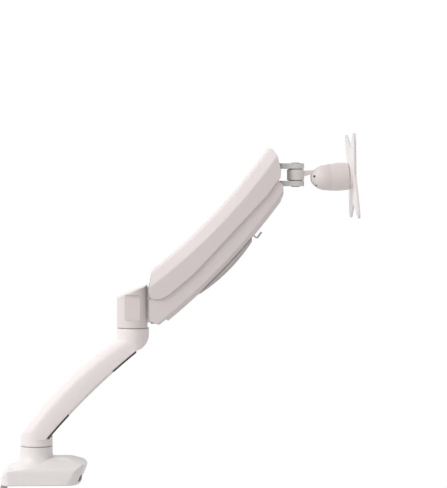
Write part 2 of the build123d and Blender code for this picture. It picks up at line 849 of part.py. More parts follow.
# Elbow: post with its cap and side panels, spindle, retainer and the bracket that carries the arm
def elbow_group():
    floor_low = arm_top - elbow_bush_length - elbow_floor
    seat_top = elbow_height + spindle_seat
    high = elbow_height + 2 * post_front_height
    slope = radians(post_slope)

    def below_slope(height):
        """Everything under the slanted top, with the slope's height given at the post's face."""
        left = elbow_reach - 2 * column_radius
        drop = (post_face_x - left) * sin(slope) / cos(slope)
        face = make_face(
            Polyline((left, 0), (post_face_x, 0), (post_face_x, height), (left, height - drop), close=True)
        )
        return across(face, side, 2 * column_radius)

    body = rod_z(column_radius, elbow_reach, elbow_height, high)
    panel_y = sqrt(column_radius**2 - panel_half_width**2)
    panel_mid = elbow_height + panel_bottom + panel_height / 2
    panel_face = RectangleRounded(2 * panel_half_width, panel_height, panel_corner)
    panel_face = Pos(elbow_reach, panel_mid) * panel_face
    top = elbow_height + post_front_height
    whole = body & below_slope(top)
    whole = whole - two_sides(panel_face, side, panel_y - panel_thick, 2 * column_radius)
    cavity_x = elbow_reach - post_cavity_shift
    cavity = rod_z(post_cavity_radius, cavity_x, elbow_height + post_cavity_floor, high)
    lid_line = below_slope(top - post_cap_thick)
    seat = rod_z(spindle_radius + static_fit, elbow_reach, elbow_height, seat_top)
    post = (whole & lid_line) - cavity - seat
    plug_line = below_slope(top - post_cap_thick - post_cap_plug)
    plug = rod_z(post_cavity_radius - small_gap, cavity_x, elbow_height + post_cavity_floor, high) & lid_line
    cap = (whole - lid_line) + (plug - plug_line)
    cap = fillet(max(cap.faces(), key=lambda face: face.normal_at().Z).edges(), post_cap_round)
    for z in bracket_screw_heights():
        post = post - rod_x(
            bracket_screw_radius + static_fit, post_face_x - bracket_screw_length, post_face_x, 0, z
        )
    parts["elbow_post"] = post
    parts["elbow_cap"] = cap
    parts["elbow_side_panels"] = Compound(
        children=[
            one_side(panel_face, side, panel_y - panel_thick, panel_y),
            one_side(panel_face, side, -panel_y, panel_thick - panel_y),
        ]
    )
    shoulder = floor_low + elbow_floor + small_gap
    shaft = rod_z(spindle_radius, elbow_reach, shoulder, seat_top)
    spigot = rod_z(spigot_radius, elbow_reach, floor_low, shoulder)
    hole_top = floor_low + retainer_screw_length
    screw_hole = rod_z(retainer_screw_radius + static_fit, elbow_reach, floor_low, hole_top)
    parts["elbow_spindle"] = shaft + spigot - screw_hole
    washer_low = floor_low - retainer_thick
    washer = rod_z(retainer_radius, elbow_reach, washer_low, floor_low)
    washer = washer - rod_z(retainer_screw_radius + small_gap, elbow_reach, washer_low, floor_low)
    parts["elbow_retaining_washer"] = washer
    head_low = washer_low - retainer_screw_head
    screw = rod_z(retainer_screw_head_radius, elbow_reach, head_low, washer_low)
    screw = screw + rod_z(retainer_screw_radius, elbow_reach, washer_low, hole_top - 2 * end_gap)
    hexagon = extrude(RegularPolygon(retainer_socket, 6), retainer_socket_depth)
    socket = Pos(elbow_reach, 0, head_low) * hexagon
    parts["elbow_retaining_screw"] = screw - socket
    elbow_bracket()


def bracket_screw_heights():
    """Heights of the two screws that hold the pivot bracket to the post."""
    return (elbow_lower[1] + bracket_screw_low, elbow_upper[1] - bracket_screw_high)


def elbow_bracket():
    face_x = post_face_x
    ends = Pos(*elbow_upper) * Circle(link_end_radius) + Pos(*elbow_lower) * Circle(link_end_radius)
    bottom = elbow_lower[1] - link_end_radius - bracket_below_pivot
    web = make_face(
        Polyline(
            (face_x, bottom),
            (pivot_x, bottom),
            (pivot_x + link_end_radius, elbow_lower[1]),
            (pivot_x + link_end_radius, elbow_upper[1]),
            (pivot_x, elbow_upper[1]),
            (face_x, elbow_upper[1] - link_end_radius / 2),
            close=True,
        )
    )
    cheeks = two_sides(ends + web, side, cheek_in, cheek_out)
    back_top = elbow_upper[1] - link_end_radius / 2
    back = block(face_x, face_x + bracket_plate, -cheek_out, cheek_out, bottom, back_top)
    bridge_low = elbow_lower[1] - tension_bridge_below_pivot
    bridge_high = bridge_low + tension_bridge
    bridge = block(face_x, pivot_x, -cheek_in, cheek_in, bridge_low, bridge_high)
    bracket = cheeks + back + bridge
    screw_x = pivot_x - tension_screw_inset
    bracket = bracket - rod_z(tension_screw_radius + running_fit, screw_x, bridge_low, bridge_high)
    trunnion_z = elbow_upper[1] - trunnion_drop
    slot_half = trunnion_play_along
    slot = Pos(pivot_x, trunnion_z) * Rot(0, 0, 90) * SlotCenterToCenter(
        2 * slot_half, 2 * (trunnion_radius + running_fit)
    )
    bracket = bracket - across(slot, side, 2 * cheek_out)
    pins = []
    for sign in (-1, 1):
        for place, reach in ((elbow_upper, upper_out), (elbow_lower, lower_out)):
            y_low, y_high = sorted((sign * cheek_in, sign * reach))
            bracket = bracket - rod_y(pin_radius + static_fit, *place, y_low, y_high)
            pins.append(rod_y(pin_radius, *place, y_low, y_high))
    screws = []
    for z in bracket_screw_heights():
        head_end = face_x + bracket_plate
        head_start = head_end - bracket_screw_head
        bracket = bracket - rod_x(bracket_screw_radius + static_fit, face_x, head_end, 0, z)
        bracket = bracket - rod_x(bracket_screw_head_radius + static_fit, head_start, head_end, 0, z)
        shank = rod_x(bracket_screw_radius, face_x - bracket_screw_length + end_gap, head_start, 0, z)
        head = rod_x(bracket_screw_head_radius, head_start, head_end, 0, z)
        hexagon = extrude(RegularPolygon(bracket_screw_socket, 6), bracket_screw_socket_depth)
        socket = Pos(head_end, 0, z) * Rot(0, -90, 0) * hexagon
        screws.append(head + shank - socket)
    parts["elbow_bracket"] = bracket
    parts["elbow_bracket_screws"] = Compound(children=screws)
    parts["elbow_pins"] = Compound(children=pins)

    nut_low = bridge_high + tension_nut_above_bridge
    nut_high = nut_low + tension_nut_height
    nut_near, nut_far = screw_x - tension_nut_half, screw_x + tension_nut_half
    nut = block(nut_near, nut_far, -yoke_out, yoke_out, nut_low, nut_high)
    arm_view = make_face(
        Polyline(
            (screw_x - tension_nut_half, nut_low),
            (screw_x + tension_nut_half, nut_low),
            (pivot_x + 2 * trunnion_radius, trunnion_z),
            (pivot_x - 2 * trunnion_radius, trunnion_z),
            (screw_x - tension_nut_half, nut_high),
            close=True,
        )
    )
    arm_view = arm_view + Pos(pivot_x, trunnion_z) * Circle(2 * trunnion_radius)
    yoke = nut + two_sides(arm_view, side, yoke_in, yoke_out)
    yoke = yoke - rod_z(tension_screw_radius + running_fit, screw_x, nut_low, nut_high)
    yoke = yoke - rod_y(trunnion_radius + static_fit, pivot_x, trunnion_z, -cheek_out, cheek_out)
    parts["tension_yoke"] = yoke
    parts["trunnion_pin"] = rod_y(trunnion_radius, pivot_x, trunnion_z, -cheek_out, cheek_out)
    shank_top = nut_high + tension_nut_above_bridge
    screw = rod_z(tension_screw_radius, screw_x, bridge_low, shank_top)
    head = rod_z(tension_head_radius, screw_x, bridge_low - tension_head, bridge_low)
    hexagon = extrude(RegularPolygon(tension_socket, 6), tension_socket_depth)
    socket = Pos(screw_x, 0, bridge_low - tension_head) * hexagon
    parts["tension_screw"] = screw + head - socket


# Upper arm: upper link with its cover, lower link with its cover, and the gas spring between them
crown_low = crown_left
crown_high = (link_length + crown_right[0], crown_right[1])
crown_centre, crown_radius = arc_through(crown_low, crown_high, -crown_sag)
floor_low_end = (0.0, floor_left)
floor_high_end = (link_length - floor_end_inset, floor_right)
floor_centre, floor_radius = arc_through(floor_low_end, floor_high_end, -floor_bow)


def in_link(plane, point):
    """A point given along and across a link, as X and Z."""
    place = plane.from_local_coords((point[0], point[1], 0))
    return (place.X, place.Z)


def crown_space(inset):
    """Space inside the top cover's outer skin, drawn in by an inset and open below."""
    deep = 3 * skirt_depth
    shape = make_face(
        Polyline((crown_drop, crown_half_width), (shoulder_drop, top_out), (deep, top_out), (deep, -top_out))
        + Polyline((deep, -top_out), (shoulder_drop, -top_out), (crown_drop, -crown_half_width))
        + ThreePointArc((crown_drop, -crown_half_width), (0, 0), (crown_drop, crown_half_width))
    )
    corners = shape.vertices().group_by(Axis.X)
    shape = fillet(corners[0] + corners[1], shoulder_round)
    if inset:
        shape = offset(shape, -inset)
    centre = in_link(upper_plane, crown_centre)
    first = angle_at(crown_centre, (-3 * link_end_radius, 0)) + rest_pitch
    last = angle_at(crown_centre, (link_length + 3 * link_end_radius, 0)) + rest_pitch
    return swung(Pos(crown_radius, 0) * shape, centre, first, last)


def floor_space(inset):
    """Space inside the bottom cover's outer skin, drawn in by an inset and open above."""
    tall = 3 * bottom_end_radius
    shape = make_face(
        Polyline(
            (-tall, -bottom_out),
            (-floor_chamfer, -bottom_out),
            (0, floor_chamfer - bottom_out),
            (0, bottom_out - floor_chamfer),
            (-floor_chamfer, bottom_out),
            (-tall, bottom_out),
            close=True,
        )
    )
    shape = fillet(shape.vertices().group_by(Axis.X)[1] + shape.vertices().group_by(Axis.X)[2], floor_round)
    if inset:
        shape = offset(shape, -inset)
    centre = in_link(lower_plane, floor_centre)
    first = angle_at(floor_centre, (-3 * link_end_radius, 0)) + rest_pitch
    last = angle_at(floor_centre, (link_length + 4 * link_end_radius, 0)) + rest_pitch
    return swung(Pos(floor_radius, 0) * shape, centre, first, last)


def top_cover():
    end = link_length
    walls = outline(
        [
            (10.0, clear_of_cover),
            (10.0, 21.6),
            (-16.0, 5.6),
            (-22.6, -4.5),
            (-14.0, -14.6),
            (-2.0, -19.6),
            (46.0, -skirt_depth),
            (end - 36.0, -skirt_depth),
            (end - 20.0, -22.6),
            (end - 8.0, -22.6),
            (end + 1.2, -15.0),
            (end + 11.8, 2.0),
            (end + 13.8, 13.0),
            (end + 12.0, 17.5),
            (end + 4.0, clear_of_cover),
        ],
        [0.0, 6.0, 12.0, 5.0, 12.0, 12.0, 60.0, 12.0, 12.0, 3.0, 12.0, 12.0, 3.0, 3.0, 0.0],
    )
    shell = crown_space(0) - crown_space(top_cover_wall)
    cover = shell & across(walls, upper_plane, top_out)
    far = clear_of_cover
    nose = [(-far, nose_web_height), (-far, -far), (nose_opening, -far), (nose_opening, nose_web_height)]
    cover = cover - across(outline(nose, [0.0] * 4), upper_plane, top_in)
    for place in upper_boss_places:
        post = Pos(place, 0) * Rectangle(2 * cover_boss_radius, clear_of_arm)
        boss = across(post, upper_plane, cover_boss_radius)
        over_web = outline(
            [
                (-far, upper_web_top),
                (2 * end, upper_web_top),
                (2 * end, clear_of_arm),
                (-far, clear_of_arm),
            ],
            [0.0] * 4,
        )
        boss = boss & across(over_web, upper_plane, top_out) & crown_space(top_cover_wall / 2)
        cover = cover + boss - upper_screw(place, static_fit)
    parts["top_cover"] = cover


def upper_screw(place, grow):
    """A cover screw standing through the upper link's web into the top cover."""
    line = upper_plane * Pos(place, upper_web_bottom, 0) * Rot(-90, 0, 0)
    shank_length = upper_web_top - upper_web_bottom + cover_screw_bite
    shank = line * Cylinder(cover_screw_radius + grow, shank_length, align=upward)
    head = line * Cylinder(cover_screw_head_radius + grow, cover_screw_head, align=downward)
    return shank + head


def lower_screw(place, grow):
    """A cover screw standing through the bottom cover's boss into the lower link's web."""
    line = lower_plane * Pos(place, lower_web_bottom - floor_boss_height, 0) * Rot(-90, 0, 0)
    shank_length = lower_web_top - lower_web_bottom + floor_boss_height
    shank = line * Cylinder(cover_screw_radius + grow, shank_length, align=upward)
    head = line * Cylinder(cover_screw_head_radius + grow, cover_screw_head, align=downward)
    return shank + head


def bottom_cover():
    end = link_length
    far = clear_of_cover
    r = bottom_end_radius
    walls = outline(
        [
            (-r, 0.0),
            (-0.2, r),
            (9.0, 20.4),
            (22.0, floor_wall_top),
            (end + 12.0, floor_wall_top),
            (end + 15.0, 2.0),
            (end + 14.0, -7.0),
            (end + 5.2, -16.4),
            (end - floor_end_inset, floor_right - small_gap),
            (end - floor_end_inset, -far),
            (-0.4 * r, -far),
            (-0.4 * r, -r),
            (-0.75 * r, -0.72 * r),
        ],
        [4.0, 3.0, 3.0, 12.0, 4.0, 4.0, 3.0, 6.0, 0.0, 0.0, 0.0, 0.0, 12.0],
    )
    cover = (floor_space(0) - floor_space(bottom_cover_wall)) & across(walls, lower_plane, bottom_out)
    for edge, half in ((floor_edge, bottom_in), (floor_start, lower_out)):
        opening = outline([(-far, far), (-far, -far), (edge, -far), (edge, far)], [0.0] * 4)
        cover = cover - across(opening, lower_plane, half)
    deep = -clear_of_arm
    under_web = outline(
        [(-far, lower_web_bottom), (-far, deep), (2 * end, deep), (2 * end, lower_web_bottom)], [0.0] * 4
    )
    for place in lower_boss_places:
        post = Pos(place, deep / 2) * Rectangle(2 * cover_boss_radius, clear_of_arm)
        boss = across(post, lower_plane, cover_boss_radius)
        boss = boss & across(under_web, lower_plane, bottom_out) & floor_space(bottom_cover_wall / 2)
        drill = lower_plane * Pos(place, lower_web_bottom - floor_boss_height, 0) * Rot(90, 0, 0)
        counterbore = drill * Cylinder(cover_screw_head_radius + screw_room, far, align=upward)
        cover = cover + boss - lower_screw(place, static_fit) - counterbore
    parts["bottom_cover"] = cover


def floor_depth(u):
    """Depth of the bottom cover's outer skin below the lower link's line at a place along it."""
    return floor_centre[1] - sqrt(floor_radius**2 - (u - floor_centre[0]) ** 2)


def duct_and_hook():
    mid = (duct_start + duct_end) / 2
    low = (mid, floor_depth(mid) - duct_depth)
    start, stop = (duct_start, floor_depth(duct_start)), (duct_end, floor_depth(duct_end))
    start_low = (duct_start + duct_end_slant, start[1] - duct_start_depth)
    stop_low = (duct_end - duct_end_slant, stop[1] - duct_stop_depth)
    roof = (mid, floor_depth(mid))
    lens = make_face(
        Polyline(start, start_low)
        + ThreePointArc(start_low, low, stop_low)
        + Polyline(stop_low, stop)
        + ThreePointArc(stop, roof, start)
    )
    shell = across(lens, lower_plane, duct_half_width)
    outward = Axis((0, 0, 0), (along[1], 0, -along[0]))
    long_edges = shell.edges().filter_by(GeomType.CIRCLE).sort_by(outward)[-2:]
    shell = chamfer(long_edges, duct_chamfer)
    hollow = across(lens, lower_plane, duct_half_width - duct_wall)
    shift = (-along[1] * duct_wall, 0, along[0] * duct_wall)
    shell = shell - Pos(*shift) * hollow
    for place in lower_boss_places:
        drill = lower_plane * Pos(place, 0, 0) * Rot(90, 0, 0)
        shell = shell - drill * Cylinder(cover_screw_head_radius + screw_room, duct_drill_depth, align=upward)
    parts["arm_cable_duct"] = shell

    hook_end = hook_place + hook_length
    top = max(floor_depth(hook_place), floor_depth(hook_end))
    stem_low = floor_depth(hook_place) - hook_depth
    hook = outline(
        [
            (hook_place, top + hook_root),
            (hook_place, stem_low + hook_wall),
            (hook_place + hook_wall, stem_low),
            (hook_end, stem_low + hook_tip_rise),
            (hook_end, stem_low + hook_wall + hook_tip_rise),
            (hook_place + hook_wall, stem_low + hook_wall),
            (hook_place + hook_wall, top + hook_root),
        ],
        [0.0] + [hook_round] * 2 + [hook_round / 2] * 3 + [0.0],
    )
    solid_floor = floor_space(0)
    parts["cable_hook"] = across(hook, lower_plane, hook_half_width) - solid_floor


def upper_link():
    end = link_length
    bars = two_sides(bar_outline(end, link_end_radius), upper_plane, upper_in, upper_out)
    web_view = outline(
        [
            (web_start, upper_web_bottom),
            (end - web_end_inset, upper_web_bottom),
            (end - web_end_inset, upper_web_top),
            (web_start, upper_web_top),
        ],
        [0.0] * 4,
    )
    link = bars + across(web_view, upper_plane, upper_out - slip_gap)
    link = link & crown_space(top_cover_wall + cover_gap)
    for place in (elbow_upper, wrist_upper):
        link = link - rod_y(bush_radius + static_fit, *place, -top_out, top_out)
    anchor = in_link(upper_plane, (spring_anchor_u, spring_anchor_v))
    link = link - rod_y(anchor_pin_radius + static_fit, *anchor, -top_out, top_out)
    for place in upper_boss_places:
        link = link - upper_screw(place, static_fit)
    parts["upper_link"] = link
    parts["top_cover_screws"] = Compound(children=[upper_screw(place, 0) for place in upper_boss_places])
    parts["spring_anchor_pin"] = rod_y(anchor_pin_radius, *anchor, -upper_out, upper_out)
    bushes = []
    for x, z in (elbow_upper, wrist_upper):
        for sign in (-1, 1):
            flange = rod_y(bush_flange_radius, x, z, *sorted((sign * cheek_out, sign * upper_in)))
            sleeve = rod_y(bush_radius, x, z, *sorted((sign * upper_in, sign * upper_out)))
            bushes.append(flange + sleeve - rod_y(pin_radius + running_fit, x, z, -top_out, top_out))
    parts["upper_link_bushes"] = Compound(children=bushes)


def lower_link():
    end = link_length
    bars = two_sides(bar_outline(end, link_end_radius), lower_plane, lower_in, lower_out)
    apron = outline(
        [
            (lower_web_start, 0),
            (lower_web_start, lower_web_bottom),
            (end - lower_web_end_inset, lower_web_bottom),
            (end - lower_web_end_inset, 0),
        ],
        [0.0] * 4,
    )
    web_view = outline(
        [
            (lower_web_start, lower_web_top),
            (lower_web_start, lower_web_bottom),
            (end - lower_web_end_inset, lower_web_bottom),
            (end - lower_web_end_inset, lower_web_top),
        ],
        [0.0] * 4,
    )
    aprons = two_sides(apron, lower_plane, lower_in, lower_out)
    link = bars + aprons + across(web_view, lower_plane, lower_out)
    link = link - rod_y(bush_radius + static_fit, *elbow_lower, -top_out, top_out)
    link = link - rod_y(pin_radius + open_pivot_clearance, *wrist_lower, -top_out, top_out)
    for place in lower_boss_places:
        link = link - lower_screw(place, static_fit)
    parts["lower_link"] = link
    parts["bottom_cover_screws"] = Compound(children=[lower_screw(place, 0) for place in lower_boss_places])
    bushes = []
    for sign in (-1, 1):
        sleeve = rod_y(bush_radius, *elbow_lower, *sorted((sign * lower_in, sign * lower_out)))
        bushes.append(sleeve - rod_y(pin_radius + running_fit, *elbow_lower, -top_out, top_out))
    parts["lower_link_bushes"] = Compound(children=bushes)


def gas_spring():
    anchor = in_link(upper_plane, (spring_anchor_u, spring_anchor_v))
    trunnion = (pivot_x, elbow_upper[1] - trunnion_drop)
    length = hypot(trunnion[0] - anchor[0], trunnion[1] - anchor[1])
    heading = (trunnion[0] - anchor[0]) / length, (trunnion[1] - anchor[1]) / length
    line = Plane(origin=(anchor[0], 0, anchor[1]), x_dir=(heading[0], 0, heading[1]), z_dir=(0, -1, 0))

    def along_spring(radius, start, stop):
        return line * Pos((start + stop) / 2, 0, 0) * Rot(0, 90, 0) * Cylinder(radius, stop - start)

    body_end = cylinder_start + cylinder_length
    tube = along_spring(cylinder_radius, cylinder_start, body_end)
    tube = tube - along_spring(
        cylinder_radius - cylinder_wall, cylinder_start + cylinder_cap, body_end - cylinder_cap
    )
    tube = tube - along_spring(rod_radius + running_fit, body_end - cylinder_cap, body_end)
    eye_neck = Rectangle(cylinder_start, anchor_neck_width)
    eye = Circle(anchor_eye_radius) + Pos(cylinder_start / 2, 0) * eye_neck
    tube = tube + across(eye, line, rod_eye_half)
    parts["gas_cylinder"] = tube - rod_y(anchor_pin_radius + running_fit, *anchor, -top_out, top_out)

    hole_along = 2 * (trunnion_radius + trunnion_play_along)
    hole_across = 2 * (trunnion_radius + trunnion_play_across)
    eye_along = hole_along + 2 * rod_eye_wall
    eye_across = hole_across + 2 * rod_eye_wall
    hole = Pos(length, 0) * RectangleRounded(hole_along, hole_across, trunnion_radius)
    eye_face = Pos(length, 0) * RectangleRounded(eye_along, eye_across, trunnion_radius + rod_eye_wall)
    piston_end = body_end - cylinder_cap - piston_from_cap
    rod = along_spring(rod_radius, piston_end - piston_length, length - hole_along / 2 - small_gap)
    piston_radius = cylinder_radius - cylinder_wall - slip_gap
    rod = rod + along_spring(piston_radius, piston_end - piston_length, piston_end)
    parts["gas_rod"] = rod + across(eye_face, line, rod_eye_half) - across(hole, line, 2 * rod_eye_half)


# Wrist: fork bracket on the links, swivel knuckle, tilting head and the plate
def wrist_group():
    ends = [Pos(*place) * Circle(link_end_radius) for place in (wrist_upper, wrist_lower)]
    body = make_hull(ends[0].edges() + ends[1].edges())
    fork = across(body, side, cheek_out)
    ear_x = wrist_upper[0] + ear_start
    ear_low = [fork_mid_z - ear_gap / 2 - ear_thick, fork_mid_z + ear_gap / 2]
    for z in ear_low:
        stem = block(wrist_upper[0], ear_x, -cheek_out, cheek_out, z, z + ear_thick)
        ear = block(ear_x, swivel_x, -ear_half_width, ear_half_width, z, z + ear_thick)
        fork = fork + stem + ear + rod_z(ear_half_width, swivel_x, z, z + ear_thick)
    fork_top = ear_low[1] + ear_thick
    fork = fork - rod_z(swivel_pin_radius + static_fit, swivel_x, ear_low[0], fork_top)
    for place in (wrist_upper, wrist_lower):
        fork = fork - rod_y(pin_radius + static_fit, *place, -top_out, top_out)
    parts["wrist_fork"] = fork
    upper_pin = rod_y(pin_radius, *wrist_upper, -upper_out, upper_out)
    lower_pin = rod_y(pin_radius, *wrist_lower, -lower_out, lower_out)
    parts["wrist_pins"] = Compound(children=[upper_pin, lower_pin])
    parts["swivel_pin"] = rod_z(swivel_pin_radius, swivel_x, ear_low[0], fork_top)

    gap_low, gap_high = ear_low[0] + ear_thick, ear_low[1]
    washers = []
    for low, high in ((gap_low, gap_low + swivel_washer), (gap_high - swivel_washer, gap_high)):
        washer = rod_z(swivel_washer_radius, swivel_x, low, high)
        washers.append(washer - rod_z(swivel_pin_radius + running_fit, swivel_x, low, high))
    parts["swivel_washers"] = Compound(children=washers)

    knuckle_low, knuckle_high = gap_low + swivel_washer, gap_high - swivel_washer
    knuckle = rod_z(knuckle_radius, swivel_x, knuckle_low, knuckle_high)
    root_x = swivel_x + tongue_root_reach
    neck_x = swivel_x + tongue_neck_reach
    root_mid = fork_mid_z + tongue_rise
    neck_mid = fork_mid_z + tongue_neck_rise
    tongue = make_face(
        Polyline(
            (root_x, root_mid + tongue_root / 2),
            (neck_x, neck_mid + tongue_neck / 2),
            (tilt_x, tilt_z + tongue_eye_radius),
            (tilt_x, tilt_z),
            (neck_x, neck_mid - tongue_neck / 2),
            (root_x, root_mid - tongue_root / 2),
            close=True,
        )
    )
    tongue = tongue + Pos(tilt_x, tilt_z) * Circle(tongue_eye_radius)
    knuckle = knuckle + across(tongue, side, tongue_half_width)
    knuckle = knuckle - rod_z(swivel_pin_radius + running_fit, swivel_x, knuckle_low, knuckle_high)
    parts["swivel_knuckle"] = knuckle - rod_y(
        tilt_bolt_radius + running_fit, tilt_x, tilt_z, -tongue_half_width, tongue_half_width
    )
    head_group()


def head_group():
    slot_half = tongue_half_width + tilt_washer
    dome_via = (dome_via_back * head_back, dome_via_out * head_front_radius)
    back_rim, front_rim = (head_back, head_back_radius), (head_front, head_front_radius)
    waist = (head_waist_at * head_front, head_waist_radius)
    dome_start = (dome_start_at * head_front, head_front_radius)
    profile = make_face(
        Polyline(back_rim, (head_back, 0), (head_front, 0), front_rim)
        + ThreePointArc(front_rim, waist, dome_start)
        + ThreePointArc(dome_start, dome_via, back_rim)
    )
    bell = Pos(0, 0, -head_drop) * revolve(profile, axis=Axis.X)
    slot = block(2 * head_back, head_slot_depth, -slot_half, slot_half, -2 * head_front, 2 * head_front)
    chamber = rod_x(chamber_radius, chamber_start, head_front, 0, -head_drop)
    bolt_room = rod_y(tilt_bolt_radius + static_fit, 0, 0, -tilt_bolt_reach - end_gap, 2 * head_front)
    head_room = rod_y(tilt_bolt_head_radius + head_gap, 0, 0, tilt_bolt_seat, 2 * head_front)
    parts["head_housing"] = head_place * (bell - slot - chamber - bolt_room - head_room)

    washers = []
    for sign in (-1, 1):
        span = sorted((sign * tongue_half_width, sign * slot_half))
        washer = rod_y(tongue_eye_radius - tilt_washer_inset, 0, 0, *span)
        washer = washer - rod_y(tilt_bolt_radius + static_fit, 0, 0, *span)
        washers.append(head_place * washer)
    parts["tilt_washers"] = Compound(children=washers)
    bolt = rod_y(tilt_bolt_radius, 0, 0, -tilt_bolt_reach, tilt_bolt_seat)
    cap_end = tilt_bolt_seat + tilt_bolt_head
    cap = rod_y(tilt_bolt_head_radius, 0, 0, tilt_bolt_seat, cap_end)
    hexagon = extrude(RegularPolygon(tilt_bolt_socket, 6), tilt_bolt_socket_depth)
    socket = Pos(0, cap_end, 0) * Rot(90, 0, 0) * hexagon
    parts["tilt_bolt"] = head_place * (bolt + cap - socket)

    middle = Pos(0, 0, -head_drop)
    disc_back = head_front - head_disc_thick
    disc = rod_x(chamber_radius - static_fit, disc_back, head_front)
    disc = disc - rod_x(rotation_spindle_radius + running_fit, disc_back, head_front)
    parts["head_disc"] = head_place * middle * disc
    washer_end = head_front + rotation_washer
    washer = rod_x(rotation_washer_radius, head_front, washer_end)
    washer = washer - rod_x(rotation_spindle_radius + running_fit, head_front, washer_end)
    parts["rotation_washer"] = head_place * middle * washer

    plate_back = washer_end + plate_boss
    plate_front = plate_back + vesa_plate_thick
    washer_back = disc_back - spindle_washer_thick
    nut_back = washer_back - spindle_nut_thick
    spindle = rod_x(rotation_spindle_radius, nut_back, plate_front)
    parts["rotation_spindle"] = head_place * middle * spindle
    spring_washer = rod_x(spindle_washer_radius, washer_back, disc_back)
    spring_washer = spring_washer - rod_x(rotation_spindle_radius + static_fit, washer_back, disc_back)
    parts["spindle_washer"] = head_place * middle * spring_washer
    nut = extrude(RegularPolygon(spindle_nut_radius, 6), spindle_nut_thick)
    nut = Pos(nut_back, 0, 0) * Rot(0, 90, 0) * nut
    nut = nut - rod_x(rotation_spindle_radius + static_fit, nut_back, washer_back)
    parts["spindle_nut"] = head_place * middle * nut

    tip, lobe, notch = vesa_half, vesa_half - vesa_lobe, vesa_notch
    corner = [(0, notch), (lobe, tip), (tip, tip), (tip, lobe)]
    points = []
    for quarter in range(4):
        c, s = round(cos(quarter * pi / 2)), round(sin(quarter * pi / 2))
        points += [(c * x + s * y, c * y - s * x) for x, y in corner]
    face = outline(points, [vesa_notch_round, vesa_tip_round, vesa_tip_round, vesa_tip_round] * 4)
    for pitch in (vesa_small_pitch, vesa_large_pitch):
        for x in (-pitch / 2, pitch / 2):
            for y in (-pitch / 2, pitch / 2):
                face = face - Pos(x, y) * Circle(vesa_hole_radius)
    stand = Plane(origin=(plate_back, 0, 0), x_dir=(0, 1, 0), z_dir=(1, 0, 0))
    plate = extrude(stand * face, vesa_plate_thick) + rod_x(plate_boss_radius, washer_end, plate_back)
    plate = plate - rod_x(rotation_spindle_radius + static_fit, washer_end, plate_front)
    parts["vesa_plate"] = head_place * middle * plate


base_group()
clamp_group()
lower_arm_group()
elbow_group()
top_cover()
bottom_cover()
duct_and_hook()
upper_link()
lower_link()
gas_spring()
wrist_group()

os.makedirs("parts", exist_ok=True)
for name, shape in parts.items():
    export_step(shape, f"parts/{name}.step")
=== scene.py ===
import json
import math

import bpy
import bmesh
from mathutils import Matrix, Vector


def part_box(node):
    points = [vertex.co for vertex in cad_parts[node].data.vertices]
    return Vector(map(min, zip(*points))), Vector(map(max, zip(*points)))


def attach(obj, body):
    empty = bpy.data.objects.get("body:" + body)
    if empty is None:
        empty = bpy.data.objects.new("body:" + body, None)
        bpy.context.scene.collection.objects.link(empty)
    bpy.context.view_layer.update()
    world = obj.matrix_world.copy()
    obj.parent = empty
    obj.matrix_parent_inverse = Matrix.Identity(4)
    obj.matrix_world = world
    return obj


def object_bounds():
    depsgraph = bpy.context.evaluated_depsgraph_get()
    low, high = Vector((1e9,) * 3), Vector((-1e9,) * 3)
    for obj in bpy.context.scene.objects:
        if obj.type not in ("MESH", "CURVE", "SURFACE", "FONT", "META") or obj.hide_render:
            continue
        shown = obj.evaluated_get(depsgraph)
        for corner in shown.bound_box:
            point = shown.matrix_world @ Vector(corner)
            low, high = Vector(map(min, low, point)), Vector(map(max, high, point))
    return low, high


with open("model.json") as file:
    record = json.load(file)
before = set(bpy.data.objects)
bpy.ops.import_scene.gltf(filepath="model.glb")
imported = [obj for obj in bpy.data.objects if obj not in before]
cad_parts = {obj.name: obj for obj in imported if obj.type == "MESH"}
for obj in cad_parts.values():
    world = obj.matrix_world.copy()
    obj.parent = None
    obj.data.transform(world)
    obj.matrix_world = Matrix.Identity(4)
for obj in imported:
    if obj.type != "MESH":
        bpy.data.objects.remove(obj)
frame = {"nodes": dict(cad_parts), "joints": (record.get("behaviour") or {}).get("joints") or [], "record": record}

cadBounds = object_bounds()
print("frame loaded:", len(frame["nodes"]), "nodes")


# puts a number, a colour or a wire into a socket
def feed(socket, value):
    if isinstance(value, Wire):
        value.tree.links.new(value.out, socket)
    else:
        socket.default_value = value


# one wire of a shader tree, so that sums on it make the nodes
class Wire:
    def __init__(self, tree, out=None):
        self.tree = tree
        self.out = out

    # any node: its type, its settings, then its sockets by name or place
    def node(self, kind, settings=None, sockets=None, output=0):
        made = self.tree.nodes.new(kind)
        for key, value in (settings or {}).items():
            setattr(made, key, value)
        for key, value in (sockets or {}).items():
            feed(made.inputs[key], value)
        return Wire(self.tree, made.outputs[output])

    def maths(self, operation, first, second):
        return self.node("ShaderNodeMath", {"operation": operation}, {0: first, 1: second})

    def __add__(self, other):
        return self.maths("ADD", self, other)

    __radd__ = __add__

    def __sub__(self, other):
        return self.maths("SUBTRACT", self, other)

    def __rsub__(self, other):
        return self.maths("SUBTRACT", other, self)

    def __mul__(self, other):
        return self.maths("MULTIPLY", self, other)

    __rmul__ = __mul__

    def __truediv__(self, other):
        return self.maths("DIVIDE", self, other)

    def __rtruediv__(self, other):
        return self.maths("DIVIDE", other, self)


def findNode(tree, kind):
    return next(node for node in tree.nodes if node.type == kind)


# an empty material with its shader and a first wire on object coordinates
def newFinish(name):
    made = bpy.data.materials.new(name)
    made.use_nodes = True
    shader = findNode(made.node_tree, "BSDF_PRINCIPLED")
    place = Wire(made.node_tree).node("ShaderNodeTexCoord", output="Object")
    return made, shader, place


def clamped(value):
    return value.node("ShaderNodeClamp", sockets={"Value": value})


def grain(place, scale, detail=3.0, rough=0.55):
    sockets = {"Vector": place, "Scale": scale, "Detail": detail, "Roughness": rough}
    return place.node("ShaderNodeTexNoise", sockets=sockets)


# noise swings about this value
grainMiddle = 0.5

